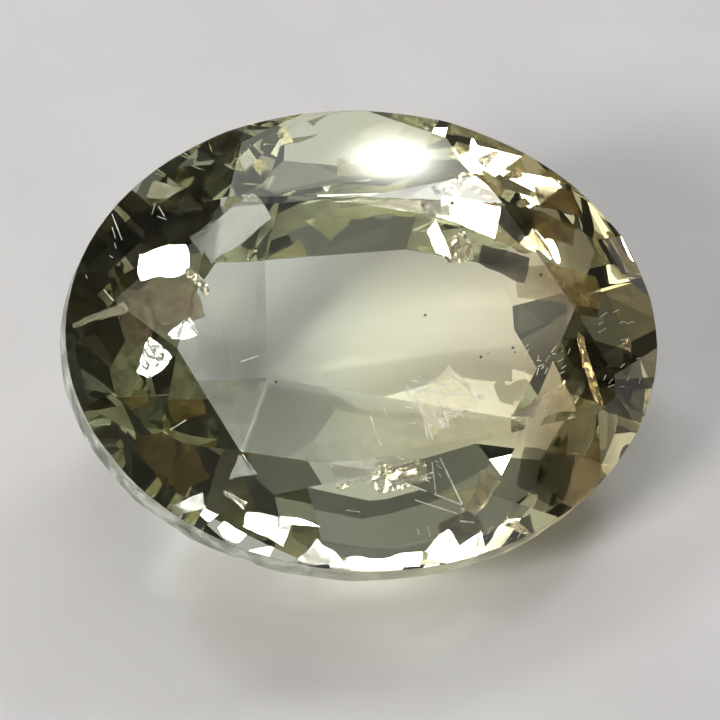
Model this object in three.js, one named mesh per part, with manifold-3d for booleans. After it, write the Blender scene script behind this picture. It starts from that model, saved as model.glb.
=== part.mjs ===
// A cut beryl: one loose oval stone, faceted and polished all over, with a ground rim.
// Millimetres, +Z up. The stone lies on the large facet of its back, as a loose stone does
// on a table top, with its flat top leaning towards -Y. The origin is under the middle of
// the stone's box, on the surface that it lies on.

import * as THREE from "three";
import { mergeVertices } from "three/addons/utils/BufferGeometryUtils.js";
import Module from "manifold-3d";

const wasm = await Module();
wasm.setup();

// Driving sizes. The stone is cut in its own frame: x along the oval, z out of the flat top,
// and z = 0 half way up the rim.
const LENGTH = 13.72;
const WIDTH = 10.96;
const RIM_HEIGHT = 0.7;
const CROWN_HEIGHT = 1.35;
const PAVILION_DEPTH = 4.75;
const RIM_SIDES = 96;

const HALF_LENGTH = LENGTH / 2;
const HALF_WIDTH = WIDTH / 2;
const RIM_TOP = RIM_HEIGHT / 2;
const RIM_BOTTOM = -RIM_HEIGHT / 2;
const TABLE_LEVEL = RIM_TOP + CROWN_HEIGHT;

// The crown's eight main facets. Each has its place round the oval in degrees, and how far
// out its corner on the flat top lies, as a share of the way to the rim. The stone was cut by
// hand, so they are uneven.
const CROWN_MAINS = [
  { at: 0, reach: 0.67 },
  { at: 45, reach: 0.67 },
  { at: 90, reach: 0.53 },
  { at: 134, reach: 0.71 },
  { at: 187, reach: 0.68 },
  { at: 226, reach: 0.735 },
  { at: 265, reach: 0.65 },
  { at: 311, reach: 0.67 },
];
const STAR_SHARE = 0.6; // a star facet's slope, as a share of its neighbours' slope
const BREAK_EXTRA = 5.5; // degrees that the facets along the rim are steeper

// The back comes down in two tiers. The steep tier starts at the rim: place round the oval
// and slope, in degrees.
const STEEP_TIER = [
  { at: 6, slope: 50 },
  { at: 19, slope: 52 },
  { at: 61, slope: 53.5 },
  { at: 76, slope: 53.5 },
  { at: 116, slope: 58.5 },
  { at: 152, slope: 53 },
  { at: 178, slope: 54 },
  { at: 207, slope: 51 },
  { at: 240, slope: 53 },
  { at: 272, slope: 54 },
  { at: 305, slope: 52 },
  { at: 332, slope: 49.5 },
];

// Small facets along the rim between those of the steep tier, cut to even out the rim.
const RIM_BREAK_SLOPE = 70;

// The shallow tier meets in the culet, which is well off centre: compass direction that the
// facet faces and slope, in degrees.
const CULET = new THREE.Vector3(-1.7, 0.05, RIM_BOTTOM - PAVILION_DEPTH);
const RESTING_FACET = { faces: 289, slope: 28 };
const SHALLOW_TIER = [
  { faces: 38, slope: 16.9 },
  { faces: 153.5, slope: 28.6 },
  { faces: 202.3, slope: 26.3 },
  RESTING_FACET,
  { faces: 328, slope: 17.9 },
];

// Shell-shaped chips where the rim's edges have been knocked: place round the oval, height,
// width along the edge and depth.
const CHIPS = [
  { at: 326, level: RIM_TOP, width: 0.5, depth: 0.08 },
  { at: 317.5, level: RIM_BOTTOM, width: 0.6, depth: 0.14 },
  { at: 311, level: RIM_BOTTOM, width: 0.8, depth: 0.16 },
  { at: 304, level: RIM_BOTTOM, width: 0.7, depth: 0.13 },
  { at: 288, level: RIM_BOTTOM, width: 0.4, depth: 0.07 },
  { at: 242, level: RIM_BOTTOM, width: 0.5, depth: 0.08 },
];
const CHIP_LEAN = 0.5; // how far a chip's bite comes from above or below, against from the side
const CHIP_FACES_ROUND = 20;
const CHIP_FACES_UP = 12;

// Turn about the upright, once the resting facet is down, that brings the flat top's lean
// round to -Y.
const HEADING = 9;

const radians = THREE.MathUtils.degToRad;
const degrees = THREE.MathUtils.radToDeg;

// Point of the oval at a place given in degrees.
function rimPoint(at, height) {
  return new THREE.Vector3(HALF_LENGTH * Math.cos(radians(at)), HALF_WIDTH * Math.sin(radians(at)), height);
}

// Level direction straight out of the rim at that place.
function outFromRim(at) {
  const across = Math.cos(radians(at)) / HALF_LENGTH;
  const up = Math.sin(radians(at)) / HALF_WIDTH;
  return new THREE.Vector3(across, up, 0).normalize();
}

// Outward normal of a facet that leans out at an angle from the level: up on the crown,
// down on the back.
function facetNormal(outward, slope, side) {
  return outward.clone().multiplyScalar(Math.sin(radians(slope))).setZ(side * Math.cos(radians(slope)));
}

// Slope of a crown facet that starts at the rim and reaches the flat top at that share of
// the way out.
function crownSlope(at, reach) {
  const run = rimPoint(at, 0).multiplyScalar(1 - reach).dot(outFromRim(at));
  return degrees(Math.atan2(CROWN_HEIGHT, run));
}

// Closed solid from a three.js geometry, with the points that faces share merged.
function solidOf(geometry) {
  const bare = geometry.clone();
  bare.deleteAttribute("normal");
  bare.deleteAttribute("uv");
  const merged = mergeVertices(bare);
  const mesh = new wasm.Mesh({
    numProp: 3,
    vertProperties: new Float32Array(merged.attributes.position.array),
    triVerts: new Uint32Array(merged.index.array),
  });
  return new wasm.Manifold(mesh);
}

// Three.js geometry from a closed solid.
function geometryOf(solid) {
  const mesh = solid.getMesh();
  const geometry = new THREE.BufferGeometry();
  geometry.setAttribute("position", new THREE.BufferAttribute(new Float32Array(mesh.vertProperties), 3));
  geometry.setIndex(new THREE.BufferAttribute(new Uint32Array(mesh.triVerts), 1));
  return geometry;
}

// The oval blank, as thick as the finished stone, with the rim's ground sides.
function blank() {
  const outline = new THREE.Shape();
  for (let i = 0; i < RIM_SIDES; i++) {
    const corner = rimPoint(((i + 0.5) * 360) / RIM_SIDES, 0);
    if (i === 0) {
      outline.moveTo(corner.x, corner.y);
    } else {
      outline.lineTo(corner.x, corner.y);
    }
  }
  outline.closePath();
  const depth = TABLE_LEVEL - CULET.z;
  const geometry = new THREE.ExtrudeGeometry(outline, { depth, bevelEnabled: false });
  geometry.translate(0, 0, CULET.z);
  return solidOf(geometry);
}

// Grinds one flat facet: takes away all that is outside the plane through a point.
function grind(stone, normal, point) {
  const wheel = new THREE.BoxGeometry(3 * LENGTH, 3 * LENGTH, LENGTH);
  wheel.translate(0, 0, LENGTH / 2);
  const turn = new THREE.Quaternion().setFromUnitVectors(new THREE.Vector3(0, 0, 1), normal);
  wheel.applyQuaternion(turn);
  wheel.translate(point.x, point.y, point.z);
  return stone.subtract(solidOf(wheel));
}

// Crown: the main facets, then between each two of them a star facet by the flat top and two
// break facets along the rim.
function cutCrown(stone) {
  CROWN_MAINS.forEach(({ at, reach }, i) => {
    const next = CROWN_MAINS[(i + 1) % CROWN_MAINS.length];
    const nextAt = next.at > at ? next.at : next.at + 360;
    const middle = (at + nextAt) / 2;
    const middleReach = (reach + next.reach) / 2;
    stone = grind(stone, facetNormal(outFromRim(at), crownSlope(at, reach), 1), rimPoint(at, RIM_TOP));

    const corner = rimPoint(at, 0).multiplyScalar(reach).setZ(TABLE_LEVEL);
    const nextCorner = rimPoint(next.at, 0).multiplyScalar(next.reach).setZ(TABLE_LEVEL);
    const along = nextCorner.sub(corner);
    const starOut = new THREE.Vector3(along.y, -along.x, 0).normalize();
    const starSlope = STAR_SHARE * crownSlope(middle, middleReach);
    stone = grind(stone, facetNormal(starOut, starSlope, 1), corner);

    for (const side of [-1, 1]) {
      const place = middle + (side * (nextAt - at)) / 4;
      const slope = crownSlope(place, middleReach) + BREAK_EXTRA;
      stone = grind(stone, facetNormal(outFromRim(place), slope, 1), rimPoint(place, RIM_TOP));
    }
  });
  return stone;
}

function culetNormal({ faces, slope }) {
  const outward = new THREE.Vector3(Math.cos(radians(faces)), Math.sin(radians(faces)), 0);
  return facetNormal(outward, slope, -1);
}

// Back: the steep tier round the rim with the small facets between, then the shallow facets
// that meet in the culet.
function cutPavilion(stone) {
  STEEP_TIER.forEach(({ at, slope }, i) => {
    const next = STEEP_TIER[(i + 1) % STEEP_TIER.length];
    const middle = (at + (next.at > at ? next.at : next.at + 360)) / 2;
    const between = facetNormal(outFromRim(middle), RIM_BREAK_SLOPE, -1);
    stone = grind(stone, facetNormal(outFromRim(at), slope, -1), rimPoint(at, RIM_BOTTOM));
    stone = grind(stone, between, rimPoint(middle, RIM_BOTTOM));
  });
  for (const facet of SHALLOW_TIER) {
    stone = grind(stone, culetNormal(facet), CULET);
  }
  return stone;
}

// Knocks the chips out of the rim. Each is the bite of a ball that reaches its depth at the
// middle and is as wide as the chip at the edge.
function chipRim(stone) {
  for (const { at, level, width, depth } of CHIPS) {
    const radius = (width ** 2 / 4 + depth ** 2) / (2 * depth);
    const outward = outFromRim(at).setZ(Math.sign(level) * CHIP_LEAN).normalize();
    const centre = rimPoint(at, level).addScaledVector(outward, radius - depth);
    const ball = new THREE.SphereGeometry(radius, CHIP_FACES_ROUND, CHIP_FACES_UP);
    ball.translate(centre.x, centre.y, centre.z);
    stone = stone.subtract(solidOf(ball));
  }
  return stone;
}

// The finished stone, lying on its resting facet, with the origin under its middle.
function restingStone() {
  const geometry = geometryOf(chipRim(cutPavilion(cutCrown(blank()))));
  const down = new THREE.Vector3(0, 0, -1);
  const lay = new THREE.Quaternion().setFromUnitVectors(culetNormal(RESTING_FACET), down);
  const head = new THREE.Quaternion().setFromAxisAngle(new THREE.Vector3(0, 0, 1), radians(HEADING));
  geometry.applyQuaternion(head.multiply(lay));
  geometry.computeBoundingBox();
  const { min, max } = geometry.boundingBox;
  geometry.translate(-(min.x + max.x) / 2, -(min.y + max.y) / 2, -min.z);
  return geometry;
}

const beryl = new THREE.MeshStandardMaterial({ color: 0xb9bca0, roughness: 0.05, metalness: 0 });
const stone = new THREE.Mesh(restingStone(), beryl);
stone.name = "beryl_stone";

const part = new THREE.Group();
part.add(stone);

export default part;
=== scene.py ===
import math
import random
from collections import namedtuple

import bmesh
import bpy
from mathutils import Matrix, Vector, noise
from mathutils.bvhtree import BVHTree


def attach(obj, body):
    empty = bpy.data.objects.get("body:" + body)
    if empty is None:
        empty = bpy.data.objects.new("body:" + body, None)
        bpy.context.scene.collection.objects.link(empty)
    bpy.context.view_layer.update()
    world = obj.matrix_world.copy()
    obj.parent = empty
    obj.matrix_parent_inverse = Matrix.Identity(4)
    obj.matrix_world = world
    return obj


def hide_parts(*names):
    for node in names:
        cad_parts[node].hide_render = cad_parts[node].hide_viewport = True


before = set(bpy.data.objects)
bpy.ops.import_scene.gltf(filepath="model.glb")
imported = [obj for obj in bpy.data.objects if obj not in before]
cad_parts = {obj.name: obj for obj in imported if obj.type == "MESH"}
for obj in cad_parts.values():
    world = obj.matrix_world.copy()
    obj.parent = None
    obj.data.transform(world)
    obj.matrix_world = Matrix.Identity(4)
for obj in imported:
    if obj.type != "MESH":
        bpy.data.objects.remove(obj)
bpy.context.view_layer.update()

# Camera. It looks down at the stone along +Y, from close by and level but for a slight tilt
# of the hand that held it. The frame is 16.3 mm wide at the stone.
MM = 0.001
CAMERA_DISTANCE = 120 * MM
CAMERA_ELEVATION = math.radians(46.4)
CAMERA_TILT = math.radians(1.2)
FRAME_WIDTH = 16.3 * MM
RIM_CENTRE = Vector((0, 0, 4.22 * MM))
AIM = RIM_CENTRE + Vector((-0.04, -0.28, -0.27)) * MM

camera_data = bpy.data.cameras.new("camera")
camera_data.sensor_fit = "HORIZONTAL"
camera_data.angle = 2 * math.atan(FRAME_WIDTH / 2 / CAMERA_DISTANCE)
camera_data.clip_start = CAMERA_DISTANCE / 10
camera_data.clip_end = CAMERA_DISTANCE * 20
camera = bpy.data.objects.new("camera", camera_data)
back = Vector((0, -math.cos(CAMERA_ELEVATION), math.sin(CAMERA_ELEVATION)))
look = back.to_track_quat("Z", "Y").to_matrix() @ Matrix.Rotation(-CAMERA_TILT, 3, "Z")
camera.matrix_world = Matrix.Translation(AIM + back * CAMERA_DISTANCE) @ look.to_4x4()
bpy.context.scene.collection.objects.link(camera)
bpy.context.scene.camera = camera

# Floor. A sheet of smooth pale card, wide enough to fill the picture from any side. It lies a
# hair below the stone, so that card and crystal don't share a face.
FLOOR_RADIUS = 600 * MM
FLOOR_SIDES = 64
FLOOR_GAP = 0.03 * MM
CARD_DARK = (0.69, 0.685, 0.705, 1)
CARD_LIGHT = (0.815, 0.81, 0.83, 1)


# Makes an object of a finished shape, with the shape's place kept in its mesh.
def placed(name, shape):
    mesh = bpy.data.meshes.new(name)
    shape.to_mesh(mesh)
    shape.free()
    thing = bpy.data.objects.new(name, mesh)
    bpy.context.scene.collection.objects.link(thing)
    return thing


# Gives a piece a new finish, and returns the finish's nodes and its shader.
def new_finish(piece, name):
    finish = bpy.data.materials.new(name)
    finish.use_nodes = True
    piece.data.materials.append(finish)
    return finish.node_tree, finish.node_tree.nodes["Principled BSDF"]


# A cloudy grain fixed to the piece. Every finish uses it, each at its own scale.
grain = bpy.data.node_groups.new("grain", "ShaderNodeTree")
grain.interface.new_socket("Scale", in_out="INPUT", socket_type="NodeSocketFloat")
grain.interface.new_socket("Detail", in_out="INPUT", socket_type="NodeSocketFloat")
grain.interface.new_socket("Amount", in_out="OUTPUT", socket_type="NodeSocketFloat")
given = grain.nodes.new("NodeGroupInput")
position = grain.nodes.new("ShaderNodeTexCoord")
pattern = grain.nodes.new("ShaderNodeTexNoise")
shown = grain.nodes.new("NodeGroupOutput")
grain.links.new(position.outputs["Object"], pattern.inputs["Vector"])
grain.links.new(given.outputs["Scale"], pattern.inputs["Scale"])
grain.links.new(given.outputs["Detail"], pattern.inputs["Detail"])
grain.links.new(pattern.outputs["Fac"], shown.inputs["Amount"])


def grain_in(tree, scale, detail):
    node = tree.nodes.new("ShaderNodeGroup")
    node.node_tree = grain
    node.inputs["Scale"].default_value = scale
    node.inputs["Detail"].default_value = detail
    return node.outputs["Amount"]


floor_bm = bmesh.new()
bmesh.ops.create_circle(floor_bm, cap_ends=True, segments=FLOOR_SIDES, radius=FLOOR_RADIUS)
bmesh.ops.translate(floor_bm, verts=floor_bm.verts, vec=(0, 0, -FLOOR_GAP))
floor = placed("floor", floor_bm)
tree, shader = new_finish(floor, "pale_card")
tone = tree.nodes.new("ShaderNodeMix")
tone.data_type = "RGBA"
tone.inputs["A"].default_value = CARD_DARK
tone.inputs["B"].default_value = CARD_LIGHT
tree.links.new(grain_in(tree, scale=220, detail=5), tone.inputs["Factor"])
tree.links.new(tone.outputs["Result"], shader.inputs["Base Color"])
shader.inputs["Roughness"].default_value = 0.6

# Light. Soft cards and lamps round a dim room, as in a bench photograph by a window. Each is
# an oval panel half a metre from the stone, facing it. A lamp with a fade is brightest in its
# middle and falls off to nothing at its edge.
LAMP_DISTANCE = 500 * MM
PANEL_MIDDLE = (0.5, 0.5, 0)
PANEL_EDGE = 0.5


# Direction given in degrees round from +Y, towards +X, and degrees up.
def towards(azimuth, elevation):
    a, e = math.radians(azimuth), math.radians(elevation)
    return Vector((math.sin(a) * math.cos(e), math.cos(a) * math.cos(e), math.sin(e)))


# Makes a panel's light fall off from its middle. The sharper the fade, the smaller the core.
def fade_out(panel, fade):
    panel.use_nodes = True
    tree = panel.node_tree
    across = tree.nodes.new("ShaderNodeNewGeometry")
    reach = tree.nodes.new("ShaderNodeVectorMath")
    reach.operation = "DISTANCE"
    reach.inputs[1].default_value = PANEL_MIDDLE
    fall = tree.nodes.new("ShaderNodeMapRange")
    fall.inputs["From Max"].default_value = PANEL_EDGE
    fall.inputs["To Min"].default_value = 1
    fall.inputs["To Max"].default_value = 0
    soften = tree.nodes.new("ShaderNodeMath")
    soften.operation = "POWER"
    soften.inputs[1].default_value = fade
    tree.links.new(across.outputs["Parametric"], reach.inputs[0])
    tree.links.new(reach.outputs["Value"], fall.inputs["Value"])
    tree.links.new(fall.outputs["Result"], soften.inputs[0])
    tree.links.new(soften.outputs[0], tree.nodes["Emission"].inputs["Strength"])


def soft_light(name, azimuth, elevation, spread, radiance, colour, shape=1.0, roll=0.0, fade=0.0):
    width = 2 * LAMP_DISTANCE * math.tan(math.radians(spread / 2))
    panel = bpy.data.lights.new(name, "AREA")
    panel.shape = "ELLIPSE"
    panel.size = width
    panel.size_y = width * shape
    panel.energy = radiance * math.pi * math.pi * width * panel.size_y / 4
    panel.color = colour
    light = bpy.data.objects.new(name, panel)
    outward = towards(azimuth, elevation)
    place = RIM_CENTRE + outward * LAMP_DISTANCE
    turn = outward.to_track_quat("Z", "Y").to_matrix() @ Matrix.Rotation(math.radians(roll), 3, "Z")
    light.matrix_world = Matrix.Translation(place) @ turn.to_4x4()
    bpy.context.scene.collection.objects.link(light)
    if fade:
        fade_out(panel, fade)


WHITE = (1, 1, 1)
DAYLIGHT = (1.0, 0.96, 0.89)
CREAM = (1.0, 1.0, 0.8)
STRAW = (1.0, 0.9, 0.7)
LAMPS = [
    # name, degrees round, degrees up, degrees across, radiance, colour; shape, roll, fade
    ("beyond", 17, 30, 22, 1.0, WHITE),
    ("ceiling", 120, 80, 40, 0.35, WHITE),
    ("front_left_window", -137, 37, 16, 19.0, DAYLIGHT),
    ("left_low", -98, 23, 14, 2.0, STRAW),
    ("front_wall", -158, 26, 40, 0.15, WHITE),
    ("low_left", -22, 13, 14, 9.0, WHITE),
    ("low_beyond", -8, 12, 16, 4.0, WHITE),
    ("lamp_beyond", 11, 37, 12, 0.8, CREAM),
    ("beyond_high", 0, 62, 40, 0.6, WHITE),
    ("overhead", 0, 86, 14, 1.8, WHITE),
    ("beyond_right", 35, 49, 13, 8.5, WHITE),
    ("beyond_left", -45, 48, 12, 10.5, WHITE),
    ("front_high_card", -173, 49.5, 10, 0.5, WHITE),
    ("front_card", -144, 29, 12, 0.4, WHITE),
    ("right_card", 146, 21, 12, 0.12, WHITE),
    ("right_high_card", 125, 34, 11, 0.28, WHITE),
    ("right_foot_card", 114, 6, 9, 0.3, WHITE),
    ("left_foot_card", -132, 6, 12, 0.25, STRAW),
    ("left_high", -90, 78, 12, 1.0, (1.0, 0.94, 0.8)),
    ("right_wall", 52, 62, 18, 1.2, WHITE),
    ("warm_wall", -118, 28, 36, 0.15, (1.0, 0.9, 0.74)),
    ("straw_card", -121, 36, 10, 0.35, STRAW),
    ("right_side_wall", 103, 22, 14, 0.2, (1.0, 0.97, 0.85)),
    ("right_side_card", 93, 21, 8, 0.22, WHITE),
    ("grey_card", 130, 50, 9, 0.55, WHITE),
    ("front_middle_card", -168, 45, 12, 0.1, WHITE),
    ("right_small_card", 128.5, 25.5, 7.5, 0.1, WHITE),
    ("right_low_card", 131, 9.8, 5.6, 0.22, WHITE),
    ("front_small_card", -164, 51, 6, 0.14, WHITE),
    ("beyond_mid", -9, 38.5, 8, 1.2, CREAM),
    ("front_high", -160, 75, 14, 2.5, WHITE),
    ("side_window", -126, 31.2, 7.4, 38.0, DAYLIGHT),
    ("small_lamp", 14.4, 36.7, 2.5, 72.0, (1, 1, 0.9), 0.52, 20, 4),
    ("right_glow", 99.5, 64.6, 5.2, 4.2, (1, 0.97, 0.8), 0.3, 120, 1.2),
    ("front_glow", -161.5, 64.7, 4, 0.9, WHITE),
]
for lamp in LAMPS:
    soft_light(*lamp)

# Room. Dim walls all round, which the polished facets mirror. The camera itself sees a paler
# backdrop past the edge of the card. Light meets many facets on its way through the stone.
ROOM_WALLS = (1, 1, 0.95, 1)
ROOM_STRENGTH = 0.022
BACKDROP = (0.56, 0.55, 0.53, 1)
FACETS_MET = 32
MIRRORINGS = 16

world = bpy.data.worlds.new("room")
bpy.context.scene.world = world
world.use_nodes = True
room = world.node_tree
background = room.nodes["Background"]
background.inputs["Color"].default_value = ROOM_WALLS
background.inputs["Strength"].default_value = ROOM_STRENGTH
backdrop = room.nodes.new("ShaderNodeBackground")
backdrop.inputs["Color"].default_value = BACKDROP
seen = room.nodes.new("ShaderNodeLightPath")
choose = room.nodes.new("ShaderNodeMixShader")
room.links.new(seen.outputs["Is Camera Ray"], choose.inputs[0])
room.links.new(background.outputs[0], choose.inputs[1])
room.links.new(backdrop.outputs[0], choose.inputs[2])
room.links.new(choose.outputs[0], room.nodes["World Output"].inputs["Surface"])
bpy.context.scene.view_settings.view_transform = "Standard"
bpy.context.scene.cycles.max_bounces = FACETS_MET
bpy.context.scene.cycles.transmission_bounces = FACETS_MET
bpy.context.scene.cycles.glossy_bounces = MIRRORINGS
bpy.context.scene.cycles.use_denoising = True
bpy.context.scene.cycles.sample_clamp_indirect = 0
bpy.context.scene.cycles.blur_glossy = 0

# Stone. A brownish green beryl cut as an oval by hand and polished, with a table and three rows
# of facets above the rim. The rim is left ground, and the edges of the facets are a little worn.
BERYL_INDEX = 1.58
BERYL_GREEN = (0.68, 0.71, 0.43, 1)
BERYL_DEPTH_OF_COLOUR = 60
TINT_FROM = -6.0 * MM
TINT_TO = 4.8 * MM
TINTS = [
    # how far along the stone from left to right, colour
    (0.0, (0.91, 0.96, 1.0)),
    (0.4, (0.97, 1.0, 0.99)),
    (0.6, (0.99, 0.98, 0.88)),
    (0.82, (1.0, 0.965, 0.84)),
    (1.0, (0.98, 0.76, 0.45)),
]
SAME_POINT = 0.002 * MM
SAME_FACET = math.radians(0.4)
SHARP = math.radians(3)
SHORT_EDGE = 0.1 * MM
EDGE_WEAR = 0.012 * MM
RIM_SLOPE = 0.1
RIM_ROUGHNESS = 0.55
RIM_PITS = 0.05 * MM


# Colours along an amount from 0 to 1, from a list of places and colours.
def colours_along(tree, amount, stops):
    ramp = tree.nodes.new("ShaderNodeValToRGB")
    elements = ramp.color_ramp.elements
    for element, (place, colour) in zip(elements, (stops[0], stops[-1])):
        element.position = place
        element.color = (*colour, 1)
    for place, colour in stops[1:-1]:
        elements.new(place).color = (*colour, 1)
    tree.links.new(amount, ramp.inputs["Fac"])
    return ramp.outputs["Color"]


# An amount stored in the piece's own mesh.
def stored(tree, name):
    node = tree.nodes.new("ShaderNodeAttribute")
    node.attribute_name = name
    return node.outputs["Fac"]


stone_bm = bmesh.new()
stone_bm.from_mesh(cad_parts["beryl_stone"].data)
bmesh.ops.remove_doubles(stone_bm, verts=stone_bm.verts, dist=SAME_POINT)
bmesh.ops.dissolve_limit(stone_bm, angle_limit=SAME_FACET, verts=stone_bm.verts, edges=stone_bm.edges)
stone_bm.normal_update()
facets = BVHTree.FromBMesh(stone_bm)
table = max((f for f in stone_bm.faces if f.normal.z > 0.5), key=lambda f: f.calc_area())
table_normal = table.normal.copy()
ground = stone_bm.faces.layers.float.new("ground")
for face in stone_bm.faces:
    face[ground] = 1.0 if abs(face.normal.dot(table_normal)) < RIM_SLOPE else 0.0
skin_bm = stone_bm.copy()
worn = [
    e for e in stone_bm.edges
    if len(e.link_faces) == 2
    and e.calc_face_angle() > SHARP
    and e.calc_length() > SHORT_EDGE
    and not all(f[ground] > 0.5 for f in e.link_faces)
]
bmesh.ops.bevel(
    stone_bm, geom=worn, offset=EDGE_WEAR, offset_type="OFFSET", segments=2, profile=0.5,
    affect="EDGES", material=-1, clamp_overlap=True,
)
stone = placed("beryl", stone_bm)
tree, shader = new_finish(stone, "beryl")
shader.inputs["IOR"].default_value = BERYL_INDEX
shader.inputs["Transmission Weight"].default_value = 1
position = tree.nodes.new("ShaderNodeTexCoord")
axes = tree.nodes.new("ShaderNodeSeparateXYZ")
tree.links.new(position.outputs["Object"], axes.inputs[0])
zone = tree.nodes.new("ShaderNodeMapRange")
zone.inputs["From Min"].default_value = TINT_FROM
zone.inputs["From Max"].default_value = TINT_TO
tree.links.new(axes.outputs["X"], zone.inputs["Value"])
tree.links.new(colours_along(tree, zone.outputs["Result"], TINTS), shader.inputs["Base Color"])
frosted = stored(tree, "ground")
matt = tree.nodes.new("ShaderNodeMath")
matt.operation = "MULTIPLY"
matt.inputs[1].default_value = RIM_ROUGHNESS
tree.links.new(frosted, matt.inputs[0])
tree.links.new(matt.outputs[0], shader.inputs["Roughness"])
pits = tree.nodes.new("ShaderNodeBump")
pits.inputs["Distance"].default_value = RIM_PITS
tree.links.new(grain_in(tree, scale=9000, detail=4), pits.inputs["Height"])
tree.links.new(frosted, pits.inputs["Strength"])
tree.links.new(pits.outputs["Normal"], shader.inputs["Normal"])
absorb = tree.nodes.new("ShaderNodeVolumeAbsorption")
absorb.inputs["Color"].default_value = BERYL_GREEN
absorb.inputs["Density"].default_value = BERYL_DEPTH_OF_COLOUR
tree.links.new(absorb.outputs[0], tree.nodes["Material Output"].inputs["Volume"])
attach(stone, "root")
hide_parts("beryl_stone")

# Ground rim. The rim was left as the grinding wheel made it, a skin of fine white scratches
# and pits that lets little light through. It lies just under the stone's own surface.
SKIN_DEPTH = 0.006 * MM
WHEEL_MARKS = [
    (0.35, (0.40, 0.40, 0.34)),
    (0.6, (0.92, 0.92, 0.86)),
]
THIN_COVER = 0.5
THICK_COVER = 0.95

polished = [f for f in skin_bm.faces if abs(f.normal.dot(table_normal)) >= RIM_SLOPE]
bmesh.ops.delete(skin_bm, geom=polished, context="FACES")
skin_bm.normal_update()
for vert in skin_bm.verts:
    vert.co -= vert.normal * SKIN_DEPTH
skin = placed("ground_rim", skin_bm)
tree, shader = new_finish(skin, "ground_beryl")
shader.inputs["Roughness"].default_value = 0.6
wheel = grain_in(tree, scale=2500, detail=6)
tree.links.new(colours_along(tree, wheel, WHEEL_MARKS), shader.inputs["Base Color"])
cover = tree.nodes.new("ShaderNodeMapRange")
cover.inputs["From Min"].default_value = 0.3
cover.inputs["From Max"].default_value = 0.6
cover.inputs["To Min"].default_value = THIN_COVER
cover.inputs["To Max"].default_value = THICK_COVER
tree.links.new(wheel, cover.inputs["Value"])
tree.links.new(cover.outputs["Result"], shader.inputs["Alpha"])
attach(skin, "root")

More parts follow.
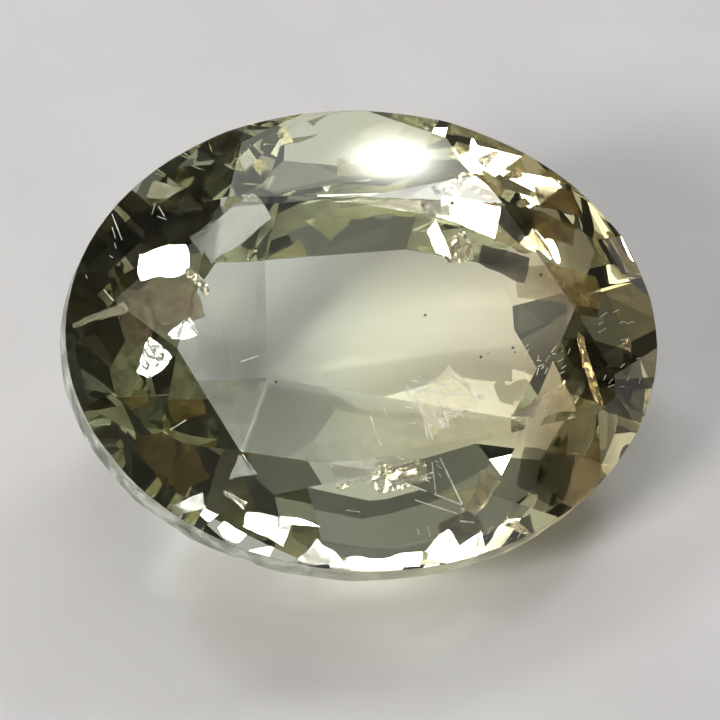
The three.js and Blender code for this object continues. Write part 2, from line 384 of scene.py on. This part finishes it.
# Fractures. Healed and open cracks inside the stone: thin crumpled films, clear, straw, brown or
# dark with stain. They flash where they throw the window's light at the camera. Most lie beyond
# the table to the right and along the near rim. The near black films in the upper left are not
# stain but painted shade, sheets laid in to darken the facets there.
PICTURE = 720
PIXEL = FRAME_WIDTH / PICTURE
CrackAndShadeSheet = namedtuple(
    "CrackAndShadeSheet", "x y depth length width spin turn roundness taper crumple stain body softness"
)
CRACKS_AND_SHADE_SHEETS = [
    # x and y in pixels of the picture; depth along the bent line of sight in mm; length and
    # width in pixels; spin in the picture and turn out of the flash in degrees; roundness of the
    # outline; taper of its width; crumple; stain and painted shade from clear to dark; body;
    # softness of its edge
    # clear plates and slivers beyond the table, at its right end
    (468, 215, 0.5, 64, 28, -14, 0, 0.15, 0.2, 0.25, 0.0, 1, 0),
    (438, 240, 0.5, 16, 32, 20, 1, 0.1, 0.3, 0.2, 0.0, 1, 0),
    (459, 185, 0.4, 42, 15, 52, 3, 0.2, -0.4, 0.8, 0.2, 1, 0),
    (490, 158, 0.3, 32, 9, 52, 3, 0.1, -0.5, 0.4, 0.15, 1, 0),
    (457, 249, 0.7, 30, 26, 20, 5, 0.3, 0.2, 2.2, 0.2, 1, 0),
    (512, 175, 0.4, 26, 9, 32, 7, 0.4, 0.3, 1.2, 0.4, 1, 0),
    (491, 178, 0.4, 24, 9, -45, 7, 0.5, 0.3, 1.2, 0.4, 1, 0),
    (521, 204, 0.4, 24, 9, 38, 6, 0.4, 0.3, 1.0, 0.35, 1, 0),
    (541, 246, 0.5, 34, 12, -42, 9, 0.1, -0.6, 0.2, 0.3, 1, 0),
    # stained plates behind and beside them
    (556, 199, 0.7, 44, 36, 5, 15, 0.15, 0.1, 0.1, 0.8, 1, 0.1),
    (557, 177, 0.6, 38, 15, -8, 12, 0.2, 0.0, 0.2, 0.6, 0.9, 0.2),
    (476, 133, 0.4, 54, 22, -14, 12, 0.1, 0.0, 0.1, 0.4, 0.85, 0.2),
    (465, 152, 0.45, 26, 26, -30, 10, 0.1, 0.0, 0.1, 0.4, 0.85, 0.1),
    (511, 158, 0.5, 24, 36, 10, 13, 0.1, 0.1, 0.2, 0.5, 0.8, 0.2),
    (491, 184, 0.6, 28, 30, -30, 15, 0.1, 0.0, 0.3, 0.75, 0.95, 0.2),
    (503, 262, 0.7, 54, 26, -18, 22, 0.1, 0.2, 0.1, 1.0, 0.95, 0.1),
    (514, 221, 0.6, 34, 34, -30, 22, 0.1, 0.3, 0.1, 1.0, 0.95, 0.1),
    (512, 244, 0.6, 42, 9, -28, 12, 0.1, -0.6, 0.2, 0.5, 0.95, 0.1),
    (545, 226, 0.7, 66, 26, -14, 18, 0.2, 0.0, 0.3, 0.86, 0.95, 0.3),
    (562, 283, 0.9, 84, 38, -5, 17, 0.2, 0.0, 0.2, 0.66, 0.85, 0.3),
    (622, 255, 0.35, 56, 9, -62, 6, 0.3, 0.0, 0.5, 0.45, 1, 0),
    (610, 241, 0.3, 14, 4, 50, 2, 0.3, 0.0, 0.4, 0.4, 1, 0),
    # in the middle, below the table and beyond it
    (402, 474, 0.5, 56, 28, 8, 8, 0.4, -0.2, 0.7, 0.2, 0.7, 0.4),
    (354, 472, 0.5, 44, 16, 8, 11, 0.0, -0.3, 0.0, 0.05, 0.85, 0),
    (341, 488, 0.6, 12, 8, 10, 1, 0.8, 0.0, 1.0, 0.4, 0.9, 0.6),
    (387, 204, 0.3, 112, 10, -1, 7, 0.0, 0.95, 0.1, 0.1, 0.95, 0),
    # at the left end
    (163, 262, 0.5, 52, 30, 12, 0, 0.25, 0.0, 0.15, 0.0, 1, 0),
    (172, 302, 0.6, 50, 44, 15, 14, 0.1, 0.0, 0.2, 0.75, 1, 0.2),
    (137, 318, 0.6, 30, 46, 15, 16, 0.1, 0.0, 0.2, 0.8, 1, 0.3),
    (199, 281, 0.5, 32, 9, -58, 3, 0.4, 0.2, 1.6, 0.3, 1, 0),
    (181, 331, 0.5, 26, 13, 35, 5, 0.2, 0.5, 0.3, 0.0, 1, 0),
    (152, 361, 0.5, 36, 26, 55, 3, 0.2, 0.3, 0.5, 0.05, 1, 0),
    (100, 316, 0.3, 60, 8, 20, 13, 0.1, 0.2, 0.1, 0.4, 0.9, 0.1),
    # a grey plate, and near black sheets of painted shade that darken the upper left facets
    (233, 228, 0.5, 80, 32, 38, 7, 0.05, 0.0, 0.0, 0.0, 0.95, 0.05),
    (166, 222, 0.8, 104, 54, 33, 18, 0.0, 0.1, 0.0, 1.12, 0.9, 0.05),
    (214, 180, 0.7, 44, 36, 55, 18, 0.0, 0.1, 0.0, 1.1, 0.92, 0.05),
    (230, 146, 0.4, 46, 26, 60, 24, 0.0, 0.1, 0.0, 1.1, 0.8, 0.05),
    (252, 192, 0.5, 40, 16, -20, 26, 0.1, 0.2, 0.2, 1.1, 0.85, 0.1),
    (177, 193, 0.35, 60, 13, -12, 8, 0.0, -0.6, 0.1, 0.3, 1, 0),
    # along the near rim
    (240, 466, 0.5, 24, 13, 100, 10, 0.0, -0.9, 0.1, 0.0, 0.9, 0.1),
    (234, 498, 0.5, 26, 6, -32, 8, 0.0, 0.6, 0.2, 0.0, 0.9, 0),
    (300, 522, 0.5, 38, 6, -10, 2, 0.0, -0.9, 0.0, 0.0, 1, 0),
    (189, 506, 0.8, 34, 12, 18, 6, 0.0, 0.1, 0.1, 0.0, 1, 0.0),
    (266, 526, 0.8, 42, 22, -18, 4, 0.0, 0.3, 0.1, 0.0, 1, 0.0),
    (230, 534, 0.4, 26, 15, -38, 2, 0.0, 0.4, 0.1, 0.0, 1, 0),
    (319, 552, 0.5, 26, 27, 92, 2, 0.0, -0.95, 0.1, 0.0, 1, 0),
    (375, 562, 0.5, 90, 13, 1, 3, 0.0, 0.2, 0.1, 0.0, 1, 0),
    (460, 528, 0.6, 40, 26, 20, 18, 0.1, 0.2, 0.2, 0.95, 0.7, 0.2),
    (508, 540, 0.45, 62, 34, 18, 18, 0.1, 0.1, 0.3, 1.05, 0.92, 0.1),
    (446, 546, 0.5, 36, 32, 78, 1, 0.0, -0.95, 0.1, 0.0, 1, 0),
    # veils and slivers at the right end
    (606, 376, 0.9, 96, 66, -12, 18, 0.1, 0.1, 0.4, 1.05, 0.9, 0.15),
    (544, 474, 0.9, 60, 52, -20, 18, 0.1, 0.2, 0.2, 1.0, 0.7, 0.2),
    (590, 370, 0.5, 76, 9, -72, 4, 0.5, 0.0, 1.6, 0.35, 1, 0),
    (626, 356, 0.4, 34, 9, 75, 7, 0.4, 0.2, 0.8, 0.1, 0.9, 0.1),
    (578, 482, 0.6, 54, 44, 70, 8, 0.2, 0.2, 0.1, 0.15, 0.85, 0.3),
    (572, 450, 1.0, 110, 100, 0, 17, 0.5, 0.0, 0.2, 0.85, 0.6, 0.9),
    (481, 494, 0.4, 42, 17, 62, 11, 0.1, 0.3, 0.1, 0.4, 0.9, 0.1),
    (543, 407, 0.4, 68, 18, 22, 7, 0.0, 0.9, 0.05, 0.0, 0.9, 0),
    (520, 528, 0.25, 40, 9, -32, 8, 0.0, -0.6, 0.1, 0.2, 0.9, 0),
    (443, 400, 0.3, 58, 46, 40, 5.5, 0.05, 0.0, 0.0, 0.2, 0.5, 0.1),
]
CRACK_FACES_LONG = 16
CRACK_FACES_WIDE = 12
CRACK_GRAIN = 0.16 * MM
CRACK_SWING = 0.08
CRACK_FRAY = 0.02
CRACK_FOLD = 0.03
CRACK_UNDER_FACE = 0.03 * MM
CRACK_SEED = 1
# Film colours, from clear through straw and brown stain to near black. The near black end is stain in
# the upper right and painted shade in the upper left.
STAIN_AND_SHADE_COLOURS = [
    (0.0, (1.0, 1.0, 0.95)),
    (0.45, (0.85, 0.77, 0.52)),
    (0.85, (0.33, 0.245, 0.135)),
    (1.0, (0.04, 0.035, 0.025)),
]


# What the camera sees at a place in the picture: the point on the stone, its facet's outward
# direction and the line of sight that meets it.
def sight(x, y):
    right, up, back = look.col
    aim = right * ((x / PICTURE - 0.5) * FRAME_WIDTH) + up * ((0.5 - y / PICTURE) * FRAME_WIDTH)
    ray = (aim - back * CAMERA_DISTANCE).normalized()
    point, normal = facets.ray_cast(camera.matrix_world.translation, ray)[:2]
    return point, normal, ray


# The line of sight after the facet has bent it into the stone.
def bend(ray, normal):
    cosine = -ray.dot(normal)
    inner = math.sqrt(1 - (1 - cosine * cosine) / BERYL_INDEX ** 2)
    return (ray / BERYL_INDEX + normal * (cosine / BERYL_INDEX - inner)).normalized()


noise.seed_set(CRACK_SEED)
cracks_and_shade_bm = bmesh.new()
stain = cracks_and_shade_bm.verts.layers.float.new("stain")
solid = cracks_and_shade_bm.verts.layers.float.new("solid")
window = towards(-135, 37)
for row in CRACKS_AND_SHADE_SHEETS:
    crack_and_shade = CrackAndShadeSheet(*row)
    point, normal, ray = sight(crack_and_shade.x, crack_and_shade.y)
    inward = bend(ray, normal)
    centre = point + inward * (crack_and_shade.depth * MM)
    facing = (-inward - bend(-window, normal)).normalized()
    along = look.col[1].cross(facing).normalized()
    basis = Matrix((along, facing.cross(along), facing)).transposed()
    basis = basis @ Matrix.Rotation(math.radians(crack_and_shade.spin), 3, "Z")
    basis = basis @ Matrix.Rotation(math.radians(crack_and_shade.turn), 3, "X")
    film = bmesh.ops.create_grid(
        cracks_and_shade_bm, x_segments=CRACK_FACES_LONG, y_segments=CRACK_FACES_WIDE, size=1
    )
    for vert in film["verts"]:
        across, down = vert.co.xy
        edge = max(abs(across), abs(down))
        u = across * (1 - crack_and_shade.roundness + crack_and_shade.roundness * math.sqrt(1 - down * down / 2))
        v = down * (1 - crack_and_shade.roundness + crack_and_shade.roundness * math.sqrt(1 - across * across / 2))
        v *= 1 + crack_and_shade.taper * u
        flat = Vector((u * crack_and_shade.length, v * crack_and_shade.width, 0)) * (PIXEL / 2)
        at = centre + basis @ flat
        ripple = noise.noise_vector(at / CRACK_GRAIN)
        swing = noise.noise_vector(at / (3 * CRACK_GRAIN))
        ragged = swing * CRACK_SWING + ripple * CRACK_FRAY
        ragged.z = ripple.z * crack_and_shade.crumple * CRACK_FOLD
        vert.co = centre + basis @ (flat + ragged * MM)
        near, outward = facets.find_nearest(vert.co)[:2]
        if (vert.co - near).dot(outward) > -CRACK_UNDER_FACE:
            vert.co = near - outward * CRACK_UNDER_FACE
        vert[stain] = crack_and_shade.stain
        vert[solid] = crack_and_shade.body * (1 - crack_and_shade.softness * edge ** 2)
cracks_and_shade = placed("fractures_and_painted_shade", cracks_and_shade_bm)
tree, shader = new_finish(cracks_and_shade, "fracture_and_shade_film")
blotches = tree.nodes.new("ShaderNodeMapRange")
blotches.inputs["To Min"].default_value = -0.17
blotches.inputs["To Max"].default_value = 0.18
tree.links.new(grain_in(tree, scale=4000, detail=3), blotches.inputs["Value"])
amount = tree.nodes.new("ShaderNodeMath")
amount.operation = "ADD"
amount.use_clamp = True
# The stain colour of each film. Its near black end paints shade over the upper left facets.
tree.links.new(stored(tree, "stain"), amount.inputs[0])
tree.links.new(blotches.outputs["Result"], amount.inputs[1])
tree.links.new(colours_along(tree, amount.outputs[0], STAIN_AND_SHADE_COLOURS), shader.inputs["Base Color"])
shader.inputs["Metallic"].default_value = 0.8
shader.inputs["Roughness"].default_value = 0.22
tree.links.new(stored(tree, "solid"), shader.inputs["Alpha"])
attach(cracks_and_shade, "root")

# Scratches. Fine marks of handling on the polished faces, thickest on the lower right of the
# table and on the facets below it. Each is a hair of torn surface that lies on its face.
SCRATCHES = [
    # x and y of both ends and width, in pixels
    (440, 458, 466, 512, 1.7), (405, 483, 462, 505, 1.3), (415, 500, 465, 516, 1.0),
    (460, 521, 482, 523, 1.6), (482, 523, 474, 560, 1.6), (418, 402, 433, 440, 1.6),
    (434, 390, 447, 420, 1.5), (405, 385, 420, 393, 1.2), (420, 376, 446, 386, 1.2),
    (430, 391, 456, 396, 1.2), (414, 404, 450, 428, 1.0), (468, 388, 482, 400, 1.2),
    (424, 420, 428, 440, 1.5), (370, 415, 381, 446, 1.4), (384, 409, 389, 418, 1.2),
    (446, 418, 452, 434, 1.3), (432, 462, 436, 495, 1.0), (410, 388, 428, 392, 1.2),
    (440, 404, 462, 412, 1.2), (452, 376, 484, 398, 1.2), (112, 214, 122, 240, 0.9),
    (104, 290, 118, 306, 0.9), (170, 430, 186, 420, 1.0), (240, 362, 258, 356, 1.1),
    (436, 412, 444, 428, 2.6), (346, 510, 360, 512, 0.9), (590, 500, 560, 530, 1.0),
]
SCRATCH_FIELDS = [
    # x, y, reach across and reach down in pixels, angle, count, length and width in pixels
    (440, 402, 34, 22, 15, 34, 14, 0.9),
    (508, 542, 30, 14, -35, 26, 7, 0.9),
    (548, 356, 26, 18, -50, 20, 8, 0.7),
    (620, 350, 22, 40, -40, 16, 9, 0.7),
    (400, 470, 40, 12, 10, 18, 10, 0.7),
    (420, 540, 40, 12, -70, 8, 7, 0.7),
    (130, 250, 46, 50, 60, 10, 12, 0.6),
]
SCRATCH_LIFT = 0.002 * MM
SCRATCH_STEP = 8
SCRATCH_SCATTER = 22
SCRATCH_SEED = 4
ONE_FACE = 0.999

chance = random.Random(SCRATCH_SEED)
marks = list(SCRATCHES)
for x, y, reach_x, reach_y, angle, count, length, width in SCRATCH_FIELDS:
    for k in range(count):
        middle = Vector((x + chance.uniform(-reach_x, reach_x), y + chance.uniform(-reach_y, reach_y)))
        slant = math.radians(angle + chance.gauss(0, SCRATCH_SCATTER))
        half = Vector((math.cos(slant), math.sin(slant))) * (length * chance.uniform(0.3, 1) / 2)
        marks.append((*(middle - half), *(middle + half), width))
scratch_bm = bmesh.new()
for x0, y0, x1, y1, width in marks:
    run, fall = x1 - x0, y1 - y0
    steps = max(1, round(math.hypot(run, fall) / SCRATCH_STEP))
    for k in range(steps):
        start, start_normal, ray = sight(x0 + run * k / steps, y0 + fall * k / steps)
        end, normal, ray = sight(x0 + run * (k + 1) / steps, y0 + fall * (k + 1) / steps)
        if start is None or end is None or normal.dot(start_normal) < ONE_FACE:
            continue
        along = end - start
        side = normal.cross(along).normalized() * (width * PIXEL)
        place = Matrix((along, side, normal)).transposed().to_4x4()
        place.translation = (start + end) / 2 + normal * SCRATCH_LIFT
        bmesh.ops.create_grid(scratch_bm, x_segments=1, y_segments=1, size=0.5, matrix=place)
scratches = placed("scratches", scratch_bm)
tree, shader = new_finish(scratches, "scratch")
shader.inputs["Base Color"].default_value = (1, 1, 0.93, 1)
shader.inputs["Roughness"].default_value = 0.4
broken = tree.nodes.new("ShaderNodeMapRange")
broken.inputs["From Min"].default_value = 0.35
broken.inputs["From Max"].default_value = 0.6
broken.inputs["To Min"].default_value = 0.4
tree.links.new(grain_in(tree, scale=3000, detail=2), broken.inputs["Value"])
tree.links.new(broken.outputs["Result"], shader.inputs["Alpha"])
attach(scratches, "root")

# Specks. Grains of dark mineral that grew inside the crystal, each a small uneven lump a little
# way under the face that it is seen through.
SPECKS = [
    # x and y in pixels, depth in mm, size in pixels
    (425, 315, 1.2, 3.2), (481, 357, 0.8, 3.0), (513, 348, 0.8, 3.0), (515, 352, 0.8, 2.0),
    (488, 353, 0.8, 1.6), (276, 382, 1.0, 2.6), (437, 192, 0.2, 7.0), (434, 188, 0.2, 5.0),
    (453, 138, 0.2, 5.5), (440, 121, 0.1, 5.0), (448, 227, 0.3, 5.0), (541, 275, 0.3, 4.5),
    (452, 203, 0.3, 4.0), (559, 399, 0.3, 4.0), (547, 408, 0.3, 2.0),
]
SPECK_GRAIN = 0.05 * MM
SPECK_UNEVEN = 0.006 * MM
MINERAL = [
    (0.0, (0.01, 0.008, 0.005)),
    (1.0, (0.12, 0.09, 0.05)),
]

speck_bm = bmesh.new()
for x, y, depth, size in SPECKS:
    point, normal, ray = sight(x, y)
    centre = point + bend(ray, normal) * (depth * MM)
    grown = bmesh.ops.create_icosphere(
        speck_bm, subdivisions=2, radius=size * PIXEL / 2, matrix=Matrix.Translation(centre)
    )
    for vert in grown["verts"]:
        vert.co += noise.noise_vector(vert.co / SPECK_GRAIN) * (size * SPECK_UNEVEN)
specks = placed("specks", speck_bm)
tree, shader = new_finish(specks, "dark_mineral")
earth = colours_along(tree, grain_in(tree, scale=20000, detail=2), MINERAL)
tree.links.new(earth, shader.inputs["Base Color"])
shader.inputs["Roughness"].default_value = 0.5
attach(specks, "root")
